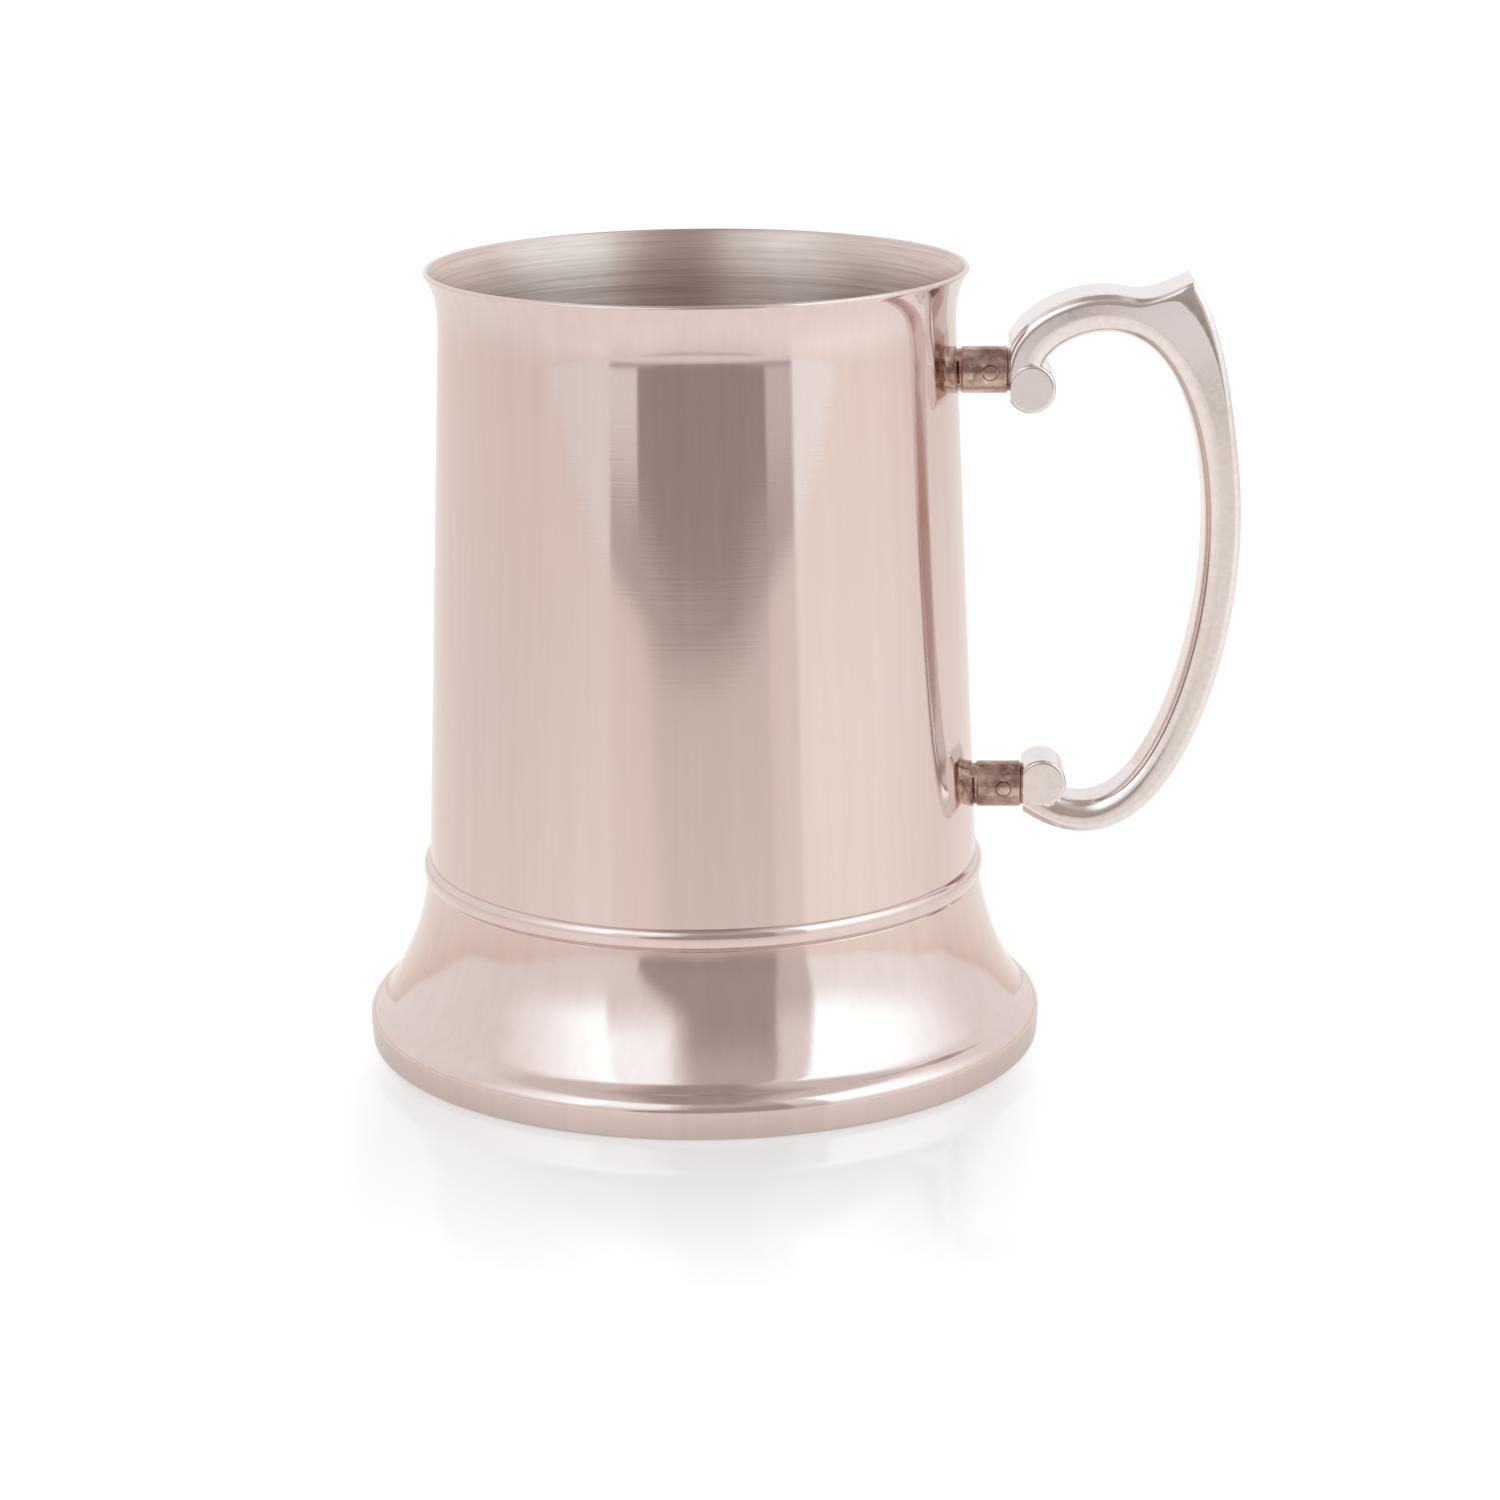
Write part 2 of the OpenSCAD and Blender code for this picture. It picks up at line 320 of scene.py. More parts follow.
class Finish:
    """A material's node tree, with short calls that add and wire its nodes."""

    def __init__(self, name):
        self.material = bpy.data.materials.new(name)
        self.material.use_nodes = True
        self.tree = self.material.node_tree
        self.tree.nodes.clear()
        self.output = self.tree.nodes.new("ShaderNodeOutputMaterial")
        self.place = self.add("TexCoord").outputs["Object"]

    def add(self, kind, inputs=None, **settings):
        """A new node, its settings made and its inputs fed."""
        node = self.tree.nodes.new("ShaderNode" + kind)
        for key, value in settings.items():
            setattr(node, key, value)
        for key, value in (inputs or {}).items():
            self.feed(node.inputs[key], value)
        return node

    def feed(self, socket, value):
        """Links another node's output, or sets a plain value."""
        if isinstance(value, bpy.types.NodeSocket):
            self.tree.links.new(value, socket)
        else:
            socket.default_value = value

    def math(self, operation, first, second=0.0):
        return self.add("Math", {0: first, 1: second}, operation=operation).outputs[0]

    def mix(self, share, first, second):
        """A number between two others."""
        return self.add("Mix", {"Factor": share, "A": first, "B": second}, data_type="FLOAT").outputs[0]

    def stretched(self, scale):
        """Object coordinates scaled per axis, so that a texture's grain runs one way."""
        return self.add("Mapping", {"Vector": self.place, "Scale": scale}).outputs[0]

    def noise(self, scale, detail, roughness=0.55):
        """Noise with this many waves to the metre along each axis."""
        inputs = {"Vector": self.stretched(scale), "Scale": 1.0, "Detail": detail,
                  "Roughness": roughness}
        return self.add("TexNoise", inputs).outputs[0]

    def fit(self, value, low, high, to_low=0.0, to_high=1.0, kind="SMOOTHSTEP"):
        """The value's range from low to high brought to another range, and held beyond it."""
        inputs = {"Value": value, "From Min": low, "From Max": high, "To Min": to_low,
                  "To Max": to_high}
        return self.add("MapRange", inputs, interpolation_type=kind).outputs[0]

    def blend(self, share, first, second):
        """A colour between two others."""
        node = self.add("Mix", data_type="RGBA", blend_type="MIX")
        self.feed(node.inputs["Factor"], share)
        self.feed(node.inputs["A"], first)
        self.feed(node.inputs["B"], second)
        return node.outputs["Result"]

    def axis(self, name):
        return self.add("SeparateXYZ", {0: self.place}).outputs[name]

    def radius(self):
        """Distance from the Z axis."""
        flat = self.add("VectorMath", {0: self.place, 1: (1, 1, 0)}, operation="MULTIPLY").outputs[0]
        return self.add("VectorMath", {0: flat}, operation="LENGTH").outputs["Value"]

    def bump(self, height, depth, normal=None):
        """The surface's normal over relief this deep, added to another relief's if given."""
        inputs = {"Height": height, "Distance": depth, "Strength": 1.0}
        if normal is not None:
            inputs["Normal"] = normal
        return self.add("Bump", inputs).outputs[0]

    def surface(self, shader):
        """The finished material, with this shader on its surface."""
        self.feed(self.output.inputs["Surface"], shader)
        return self.material

    def metal(self, tone, rough, normal, grain_pull=0.0):
        """Bare metal. On a turned piece, grain_pull draws its highlights out across the grain."""
        inputs = {"Base Color": tone, "Metallic": 1.0, "Roughness": rough, "Normal": normal}
        if grain_pull:
            inputs["Tangent"] = self.add("Tangent", direction_type="RADIAL", axis="Z").outputs[0]
            inputs["Anisotropic"] = grain_pull
            inputs["Anisotropic Rotation"] = 0.25
        return self.surface(self.add("BsdfPrincipled", inputs).outputs[0])


def colour(red, green, blue):
    """An opaque colour."""
    return (red, green, blue, 1.0)


STEEL = colour(0.700, 0.575, 0.545)
STEEL_PALE = colour(0.725, 0.600, 0.572)

# A noise's values lie mostly in this range, and the sum of two of them in the next
NOISE = (0.3, 0.7)
TWO_NOISES = (0.7, 1.3)


def polished_shell(name, smoothest, roughest, grain_pull):
    """Polished sheet steel: lathe lines round the cup, faint drawing streaks up it."""
    f = Finish(name)
    streaks = f.noise((420, 420, 9), detail=4)
    cloud = f.noise((38, 38, 30), detail=2)
    lines = f.noise((30, 30, 2600), detail=2)
    tone = f.blend(f.fit(streaks, *NOISE), STEEL, STEEL_PALE)
    grain = f.math("ADD", f.math("MULTIPLY", streaks, 0.5), f.math("MULTIPLY", cloud, 0.5))
    rough = f.fit(grain, *NOISE, smoothest, roughest, kind="LINEAR")
    normal = f.bump(lines, 1.4 * MICRON)
    normal = f.bump(streaks, 6 * MICRON, normal=normal)
    return f.metal(tone, rough, normal, grain_pull)


def satin_well():
    """The inside as it left the lathe: satin, with fine turning marks."""
    f = Finish("satin_turned_steel")
    marks = f.noise((26, 26, 2300), detail=4, roughness=0.7)
    broad = f.noise((14, 14, 500), detail=2)
    patches = f.noise((60, 60, 200), detail=3)
    tone = f.blend(f.fit(marks, *NOISE), colour(0.65, 0.525, 0.483), colour(0.89, 0.755, 0.708))
    rough = f.fit(f.math("ADD", marks, patches), *TWO_NOISES, 0.31, 0.45, kind="LINEAR")
    normal = f.bump(broad, 30 * MICRON)
    normal = f.bump(marks, 10 * MICRON, normal=normal)
    return f.metal(tone, rough, normal, grain_pull=0.95)


def satin_disc():
    """A faced disc: concentric turning marks round the axis."""
    f = Finish("satin_faced_steel")
    ring = f.add("CombineXYZ", {"X": f.math("MULTIPLY", f.radius(), 1900.0)}).outputs[0]
    marks = f.add("TexNoise", {"Vector": ring, "Scale": 1.0, "Detail": 4.0}).outputs[0]
    patches = f.noise((90, 90, 90), detail=3)
    tone = f.blend(f.fit(marks, *NOISE), colour(0.56, 0.455, 0.415), colour(0.70, 0.590, 0.545))
    rough = f.fit(f.math("ADD", marks, patches), *TWO_NOISES, 0.26, 0.40, kind="LINEAR")
    return f.metal(tone, rough, f.bump(marks, 12 * MICRON), grain_pull=0.6)


def bright_handle():
    """Bright cast metal: cooler than the cup, with the slight ripple that buffing leaves."""
    f = Finish("bright_cast_metal")
    ripple = f.noise((170, 170, 170), detail=2)
    haze = f.noise((900, 900, 900), detail=4)
    tone = f.blend(f.fit(haze, *NOISE), colour(0.760, 0.682, 0.662), colour(0.815, 0.740, 0.722))
    rough = f.fit(haze, *NOISE, 0.07, 0.13, kind="LINEAR")
    normal = f.bump(ripple, 9 * MICRON)
    normal = f.bump(haze, 0.2 * MICRON, normal=normal)
    return f.metal(tone, rough, normal)


def heat_tinted(name, dark, mid, light):
    """Steel browned by the torch: mottled oxide with lighter spots where it was wiped."""
    f = Finish(name)
    mottle = f.noise((260, 260, 260), detail=3, roughness=0.5)
    spots = f.noise((900, 900, 900), detail=2)
    oxide = f.blend(f.fit(mottle, 0.36, 0.62), dark, mid)
    tone = f.blend(f.fit(spots, 0.55, 0.75, 0, 0.6), oxide, light)
    rough = f.fit(mottle, *NOISE, 0.12, 0.24, kind="LINEAR")
    return f.metal(tone, rough, f.bump(mottle, 20 * MICRON))


# ---- cup and foot ---------------------------------------------------------------------------


def lip_curves():
    """The flare's outer and inner curve, bending ever faster outwards, and the rim between them."""
    low = RIM_Z - LIP_RISE
    high = RIM_Z - SHEET / 2
    spread = side_radius(RIM_Z - LIP_H) + LIP_OUT - side_radius(high)
    outer, inner = [], []
    for i in range(CURVE_STEPS + 1):
        rise = i / CURVE_STEPS
        z = low + (high - low) * rise
        middle = side_radius(z) + spread * rise ** 3 - SHEET / 2
        lean = atan(3 * spread * rise ** 2 / (high - low) - tan(TAPER))
        outer.append((middle + SHEET / 2 * cos(lean), z - SHEET / 2 * sin(lean)))
        inner.append((middle - SHEET / 2 * cos(lean), z + SHEET / 2 * sin(lean)))
    rim = arc((middle, z), SHEET / 2, -lean, pi - lean, 12)
    return outer, rim, inner


def body_wall(polished, satin):
    """The cup's side: polished outside and over the rim, satin inside."""
    outer, rim, inner = lip_curves()
    inset = SHEET / cos(TAPER)
    outside = line((side_radius(STEP_Z), STEP_Z), outer[0], 40)
    inside = line(inner[0], (side_radius(STEP_Z) - inset, STEP_Z), 40)
    neck = [(COLLAR_R - SHEET, WALL_LOW.z), (COLLAR_R - SHEET, COLLAR_Z)]
    well = [(NECK_R, NECK_TOP), (NECK_R, WALL_LOW.z)]
    runs = [(neck + outside + outer + rim, 0), (inner[::-1] + inside + well, 1)]
    return settle(piece("cup_side", revolve(runs), [polished, satin]), "body_wall")


def cup_bottom(satin):
    """The well's floor, with a bent-down flange."""
    floor_z, low, flat_r = WELL_HIGH.z, WELL_LOW.z, NECK_R - WELL_BEND
    middle = (flat_r, floor_z - WELL_BEND)
    top = line((0, floor_z), (flat_r, floor_z), 24)
    top += arc(middle, WELL_BEND, pi / 2, 0, 10) + [(NECK_R, low), (NECK_R - SHEET, low)]
    under = arc(middle, WELL_BEND - SHEET, 0, pi / 2, 8)
    under += line((flat_r, floor_z - SHEET), (0, floor_z - SHEET), 6)
    runs = [(top, 0), (under, 0)]
    return settle(piece("well_floor", revolve(runs), [satin]), "cup_bottom")


def cove_at(z, inset):
    """The hollow cove's radius at a height, inset from its outer face."""
    start = COLLAR_R + sqrt(COVE_R ** 2 - COVE_LEAD ** 2)
    return start - sqrt((COVE_R + inset) ** 2 - (BEAD_LOW.z + COVE_LEAD - z) ** 2)


def roll_at(z, inset):
    """The rounded base moulding's radius at a height, inset from its outer face."""
    rise = min(1.0, (z - ROLL_Z) / (ROLL_H - inset))
    return FOOT_HIGH.x - ROLL_W + (ROLL_W - inset) * sqrt(1 - rise ** 2)


def crease_height(inset):
    """Where the hollow cove meets the rounded base moulding, by halving the gap."""
    just_under = 0.05 * MM
    low, high = ROLL_Z + SHEET, ROLL_Z + ROLL_H - inset - just_under
    for _ in range(30):
        middle = (low + high) / 2
        if roll_at(middle, inset) > cove_at(middle, inset):
            low = middle
        else:
            high = middle
    return middle


def eased(start, corner_point, end, steps):
    """A quadratic curve that rounds off a corner."""
    points = []
    for i in range(steps + 1):
        t = i / steps
        shares = ((1 - t) ** 2, 2 * t * (1 - t), t ** 2)
        points.append(tuple(sum(w * p[k] for w, p in zip(shares, (start, corner_point, end)))
                            for k in (0, 1)))
    return points


def foot_side(inset, steps):
    """The foot's side from under the bead down to its widest line, the crease eased."""
    fold, top = crease_height(inset), BEAD_LOW.z
    above, below = fold + CREASE_ABOVE, fold - CREASE_BELOW
    cove = [(cove_at(z, inset), z) for z in (top + (above - top) * i / steps for i in range(steps + 1))]
    turn = asin((below - ROLL_Z) / (ROLL_H - inset))
    spread = [turn * (1 - 3 * i / steps) for i in range(steps // 3 + 1)]
    heights = [ROLL_Z + (ROLL_H - inset) * sin(a) for a in spread]
    roll = [(roll_at(z, inset), z) for z in heights]
    return cove + eased(cove[-1], (cove_at(fold, inset), fold), roll[0], 12) + roll


def spun_ripple(angle, z):
    """The slight unevenness of spun metal in the cove, gone at both of its ends."""
    fade_in = max(0.0, min(1.0, (z - RIPPLE_LOW) / RIPPLE_FADE))
    fade_out = max(0.0, min(1.0, (RIPPLE_HIGH - z) / RIPPLE_FADE))
    waves = sin(7 * angle + 380 * z)
    waves += 0.7 * sin(13 * angle - 300 * z + 1.3)
    waves += 0.4 * sin(23 * angle + 2)
    return RIPPLE * (fade_in * fade_out) * waves


def seam_edge():
    """The collar behind the bead, and the shadow groove in place of the side's first two points."""
    low = BEAD_LOW.z
    deep = COLLAR_R - SEAM_GROOVE
    foot = low - 2 * SEAM_GROOVE
    return [(deep, COLLAR_Z), (deep, low - 0.6 * SEAM_GROOVE), (cove_at(foot, 0), foot)]


def foot_skirt(polished, satin):
    """The spun foot: collar, cove, base moulding, rounded toe and the ring that it stands on."""
    toe_r = FOOT_HIGH.x - TOE_IN
    outside = seam_edge() + foot_side(0, 72)[2:]
    toe = arc((toe_r - EDGE_ROUND, EDGE_ROUND), EDGE_ROUND, 0, -pi / 2, 8)
    shelf = [(toe_r - REST_W, 0), (toe_r - REST_W, SHEET), (toe_r - SHEET, SHEET)]
    inside = [(COLLAR_R - SHEET, COLLAR_Z)] + foot_side(SHEET, 24)
    runs = [(outside + toe + shelf, 0), (inside[::-1], 1)]
    mesh = revolve(runs, warp=spun_ripple)
    return settle(piece("foot", mesh, [polished, satin]), "foot_skirt")


def seam_bead(polished):
    """The half-round wire over the seam between cup and foot, with a shadow groove under it."""
    middle, half = (BEAD_TOP + BEAD_LOW.z) / 2, (BEAD_TOP - BEAD_LOW.z) / 2
    crest = []
    for i in range(CURVE_STEPS + 1):
        turn = pi / 2 - pi * i / CURVE_STEPS
        back = side_radius(BEAD_TOP) if turn > 0 else COLLAR_R
        crest.append((back + (BEAD_HIGH.x - back) * cos(turn), middle + half * sin(turn)))
    deep = COLLAR_R - SEAM_GROOVE
    back = [(deep, BEAD_LOW.z), (deep, COLLAR_Z), (COLLAR_R - SHEET, COLLAR_Z)]
    back += [(side_radius(STEP_Z), STEP_Z)]
    return settle(piece("seam_bead_wire", revolve([(crest + back, 0)]), [polished]),
                  "seam_bead")


def base_plate(satin):
    """The plate that closes the underside, its middle raised."""
    low, high, out = PLATE_LOW.z, PLATE_HIGH.z, PLATE_HIGH.x
    step_r, rise_w = PLATE_STEP_R, PLATE_SLOPE
    top = [(out, low), (out, low + SHEET), (step_r, low + SHEET), (step_r - rise_w, high), (0, high)]
    under_z = high - SHEET
    under = line((0, under_z), (step_r - rise_w - SHEET / 2 - PLATE_SOFT, under_z), 24)
    under += line((step_r - rise_w - SHEET / 2, under_z - PLATE_SOFT / 2), (step_r - SHEET / 2, low), 4)
    mesh = revolve([(under + top, 0)])
    return settle(piece("underside_plate", mesh, [satin]), "base_plate")


# ---- fixings --------------------------------------------------------------------------------


class Joint:
    """Where a ferrule stands: its axis height, the wall it meets and the pad it ends at."""

    def __init__(self, where):
        low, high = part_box(where + "_ferrule")
        pin_low, pin_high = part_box(where + "_pin")
        self.name = where
        self.z = (low.z + high.z) / 2
        self.radius = (high.y - low.y) / 2
        self.pad = high.x
        self.wall = side_radius(self.z)
        self.pin_x = (pin_low.x + pin_high.x) / 2

    def along_x(self, radius, start, end, steps):
        """A plain shaft on the joint's axis."""
        outline = [(0, start), (radius, start), (radius, end), (0, end)]
        return revolve([(outline, 0)], about_x, steps, (0, 0, self.z))

    def pin_shaft(self, radius, length):
        """A plain shaft across the joint, where its pin is."""
        end = length / 2
        outline = [(0, -end), (radius, -end), (radius, end), (0, end)]
        return revolve([(outline, 0)], about_y, PIN_STEPS, (self.pin_x, 0, self.z))


def ferrule(joint, metal):
    """A turned stud with a groove at each end, cut to the wall's curve and bored for its spigot."""
    r, wall, pad = joint.radius, joint.wall, joint.pad
    neck, round_r = r - GROOVE, r - STUD_ROUND
    outline = [(0, wall - OVERRUN), (neck, wall - OVERRUN), (neck, wall + GROOVE)]
    outline += arc((round_r, wall + 2 * GROOVE + GROOVE_SLOPE), STUD_ROUND, -pi / 2, 0, 5)
    outline += arc((round_r, pad - 1.5 * GROOVE - GROOVE_SLOPE), STUD_ROUND, 0, pi / 2, 5)
    outline += [(neck, pad - GROOVE / 2), (neck, pad), (0, pad)]
    mesh = revolve([(outline, 0)], about_x, STUD_STEPS, (0, 0, joint.z))
    stud = piece(joint.name + "_stud", mesh, [metal])
    bore_end = pad - SPIGOT_L - BORE_SPARE
    bore = joint.along_x(SPIGOT_R + SPIGOT_GAP, bore_end, pad + OVERRUN, BORE_STEPS)
    combine(stud, bore, "DIFFERENCE")
    cup = [(0, BEAD_TOP), (side_radius(BEAD_TOP), BEAD_TOP)]
    cup += [(side_radius(RIM_Z - LIP_H), RIM_Z - LIP_H), (0, RIM_Z - LIP_H)]
    combine(stud, revolve([(cup, 0)]), "DIFFERENCE")
    combine(stud, joint.pin_shaft(PIN_R + PIN_SEAM, 4 * r), "DIFFERENCE")
    shade(stud, CUT_SHARP)
    return settle(stud, joint.name + "_ferrule")


def lock_pin(joint, metal):
    """The cross pin, its ends filed to the stud's round."""
    pin = piece(joint.name + "_lock_pin", joint.pin_shaft(PIN_R, 3 * joint.radius), [metal])
    combine(pin, joint.along_x(joint.radius, 0, joint.pad, 2 * STUD_STEPS), "INTERSECT")
    shade(pin, CUT_SHARP)
    return settle(pin, joint.name + "_pin")


# ---- handle ---------------------------------------------------------------------------------


def line_at(t):
    """Point and direction of the strap's centre line, [x, z] in metres, t counted in spans."""
    i = min(floor(t), SPANS - 1)
    u = min(t - i, 1.0)
    four = [Vector(p) * MM for p in STRAP_LINE[i:i + 4]]
    shares = ((1 - u) ** 3 / 6, (3 * u ** 3 - 6 * u ** 2 + 4) / 6,
              (-3 * u ** 3 + 3 * u ** 2 + 3 * u + 1) / 6, u ** 3 / 6)
    slopes = (-(1 - u) ** 2 / 2, (3 * u ** 2 - 4 * u) / 2, (-3 * u ** 2 + 2 * u + 1) / 2, u ** 2 / 2)
    point = sum((p * s for p, s in zip(four, shares)), Vector((0, 0)))
    way = sum((p * s for p, s in zip(four, slopes)), Vector((0, 0))).normalized()
    if t > SPANS:
        point += way * TAIL * (t - SPANS)
    return point, way


def corner(y, d, radius, start, depth):
    """One corner of the strap's cross-section, rounded and drawn out in depth."""
    sign_y, sign_d = (1 if y > 0 else -1), (1 if d > 0 else -1)
    end = start + pi / 2
    rounded = [(cos(start) + HOLD * sin(start), sin(start) - HOLD * cos(start))]
    rounded += arc((0, 0), 1, start, end, CORNER_STEPS)
    rounded += [(cos(end) - HOLD * sin(end), sin(end) + HOLD * cos(end))]
    long = radius + depth
    return [(y + radius * (a - sign_y), d + long * (b - sign_d)) for a, b in rounded]


def past_even(share):
    """Rises only past the part of the strap that keeps its width."""
    return share - EVEN_WIDTH + hypot(share - EVEN_WIDTH, EVEN_BLEND)


def narrowing(share):
    """How far the strap has narrowed, from 0 to 1: even over the arch, then steadily."""
    return (past_even(share) - past_even(0)) / (past_even(1) - past_even(0))


def strap_section(share, thumb):
    """Points [y, d] of the strap's cross-section, d outwards, a share of the way along it."""
    half_w = (STRAP_W[0] + (STRAP_W[1] - STRAP_W[0]) * narrowing(share)) / 2
    half_d = (STRAP_D[0] + (STRAP_D[1] - STRAP_D[0]) * share) / 2
    back = half_d + THUMB_H * thumb
    back_round = BACK_ROUND + (THUMB_EDGE - BACK_ROUND) * sqrt(thumb)
    slope = THUMB_SLOPE * thumb ** 2
    outline = corner(half_w, back, back_round, 0, slope)
    outline += corner(-half_w, back, back_round, pi / 2, slope)
    outline += corner(-half_w, -half_d, STRAP_ROUND, pi, INNER_ROLL)
    outline += corner(half_w, -half_d, STRAP_ROUND, 1.5 * pi, INNER_ROLL)
    return outline


def strap_mesh():
    """The strap swept along its line, its outer side raised into the thumb rest."""
    stations = [k / SPAN_STEPS for k in range(SPANS * SPAN_STEPS + 1)] + [SPANS + 1]
    spots = [line_at(t) for t in stations]
    run = [0.0]
    for k in range(1, len(spots)):
        run.append(run[-1] + (spots[k][0] - spots[k - 1][0]).length)
    crest = run[round(THUMB_AT * SPAN_STEPS)]
    mesh = bmesh.new()
    rings = []
    for (point, way), s in zip(spots, run):
        gap = (crest - s) / THUMB_FRONT if s < crest else (s - crest) / THUMB_BACK
        outline = strap_section(s / run[-1], max(0.0, 1 - gap) ** THUMB_POWER)
        out = Vector((-way.y, way.x))
        rings.append([mesh.verts.new((point.x + out.x * d, y, point.y + out.y * d))
                      for y, d in outline])
    count = len(rings[0])
    for near, far in zip(rings, rings[1:]):
        for i in range(count):
            j = (i + 1) % count
            mesh.faces.new((near[i], near[j], far[j], far[i]))
    mesh.faces.new(rings[0])
    mesh.faces.new(rings[-1][::-1])
    return mesh


def scroll_mesh(centre, width):
    """A scroll's disc, its edges rounded. A point beside each rounding keeps its faces flat."""
    half = width / 2
    edge = SCROLL_R - SCROLL_ROUND
    outline = [(0, -half), (edge - HOLD * MM, -half)]
    outline += arc((edge, SCROLL_ROUND - half), SCROLL_ROUND, -pi / 2, 0, 8)
    outline += arc((edge, half - SCROLL_ROUND), SCROLL_ROUND, 0, pi / 2, 8)
    outline += [(edge - HOLD * MM, half), (0, half)]
    return revolve([(outline, 0)], about_y, STUD_STEPS, (centre[0], 0, centre[1]))


def handle(joints, metal):
    """The cast handle: strap and scrolls in one, flat pads, and a spigot on each pad."""
    grip = piece("scroll_handle", strap_mesh(), [metal])
    combine(grip, scroll_mesh(UPPER_SCROLL, STRAP_W[0] + SCROLL_PROUD), "UNION")
    combine(grip, scroll_mesh(LOWER_SCROLL, STRAP_W[1] + SCROLL_PROUD), "UNION")
    long, wide, tall = PAD_CUT
    for joint in joints:
        cut = block((joint.pad - long, -wide, joint.z - tall), (joint.pad, wide, joint.z + tall))
        combine(grip, cut, "DIFFERENCE")
        start, root = joint.pad - SPIGOT_L, joint.pad + SPIGOT_ROOT
        combine(grip, joint.along_x(SPIGOT_R, start, root, BORE_STEPS), "UNION")
        combine(grip, joint.pin_shaft(PIN_R, 6 * SPIGOT_R), "DIFFERENCE")
    shade(grip, CUT_SHARP)
    for face in grip.data.polygons:
        face.use_smooth = abs(face.normal.y) < DISC_FLAT
    return settle(grip, "handle")


# ---- stage ----------------------------------------------------------------------------------

# The camera: how far from the cup's axis it stands, how high and how far round to the right, and
# how far it looks down, aside of the axis and rolled
CAMERA_FAR = 618 * MM
CAMERA_HIGH = 213.9 * MM
CAMERA_ROUND = radians(2.5)
CAMERA_DOWN = radians(15.15)
CAMERA_ASIDE = radians(0.716)
CAMERA_ROLL = radians(-0.5)
LENS = 95.407
SENSOR = 36.0

# The floor that the camera sees and, just below it, the white table that only the metal sees. The
# table's front edge lies this far in front of the cup's axis
FLOOR_SIDE = 6.0
FLOOR_Z = -0.0001
TABLE_SIDE = 2.5
TABLE_FRONT = 0.537
TABLE_Z = -0.0002

# The camera's soft shade on the table's front edge: its middle, half width and half depth
SHADE_ASIDE = 0.035
SHADE_WIDE = 0.26
SHADE_DEEP = 0.088

# The foot's own soft shade on the table
FOOT_SHADE = 0.016

# The foot's faint mirror image in the floor: how strong it is near the foot, and where it fades
# away from the axis, to each side and towards the back
MIRROR_SHARE = 0.34
MIRROR_AWAY = (0.050, 0.145)
MIRROR_SIDE = (0.044, 0.062)
MIRROR_BACK = (-0.03, 0)

# The studio by direction, in degrees to the right of the camera and up from the horizon. A pair is
# where a soft edge starts and ends, apart from OPENING, which is the opening's two sides
OPENING = (-38, 41)
OPENING_SOFT = 1.2
LEFT_BOX_ENDS = (-36.5, -33.5)
RIGHT_BOX_STARTS = (40.5, 43.5)
CEILING_STARTS = (48, 60)
FLOOR_ENDS = (-6.8, -6.4)
DOOR_FOOT = -8.8
DOOR_MIDDLE = 1.5
DOOR_HALF = 27.5
DOOR_RIGHT = (28.2, 29.8)


def camera():
    """The photograph's view."""
    data = bpy.data.cameras.new("camera")
    data.lens = LENS
    data.sensor_width = SENSOR
    data.clip_start = 0.01
    data.clip_end = 50
    cam = bpy.data.objects.new("camera", data)
    ahead = Vector((sin(CAMERA_ASIDE) * cos(CAMERA_DOWN), cos(CAMERA_ASIDE) * cos(CAMERA_DOWN),
                    -sin(CAMERA_DOWN)))
    level = Vector((cos(CAMERA_ASIDE), -sin(CAMERA_ASIDE), 0))
    up = level.cross(ahead)
    right = cos(CAMERA_ROLL) * level + sin(CAMERA_ROLL) * up
    up = right.cross(ahead)
    turn = Matrix((right, up, -ahead)).transposed().to_4x4()
    where = Matrix.Translation((0, -CAMERA_FAR, CAMERA_HIGH))
    cam.matrix_world = Matrix.Rotation(CAMERA_ROUND, 4, "Z") @ where @ turn
    bpy.context.scene.collection.objects.link(cam)
    bpy.context.scene.camera = cam


def sheet_object(name, corners, material, **seen_by):
    """A flat or bent stage sheet from a grid of corners, seen only by the rays named."""
    data = bpy.data.meshes.new(name)
    rows, columns = len(corners), len(corners[0])
    faces = [(r * columns + c, r * columns + c + 1, (r + 1) * columns + c + 1, (r + 1) * columns + c)
             for r in range(rows - 1) for c in range(columns - 1)]
    data.from_pydata([p for row in corners for p in row], [], faces)
    data.materials.append(material)
    obj = bpy.data.objects.new(name, data)
    for ray in ("camera", "diffuse", "glossy", "shadow", "transmission", "volume_scatter"):
        setattr(obj, "visible_" + ray, seen_by.get(ray, False))
    bpy.context.scene.collection.objects.link(obj)
    return obj


def square(side, front, z):
    """Corners of a level sheet that starts at front and reaches side to the left, right and back."""
    return [[(-side, front, z), (side, front, z)], [(-side, side, z), (side, side, z)]]


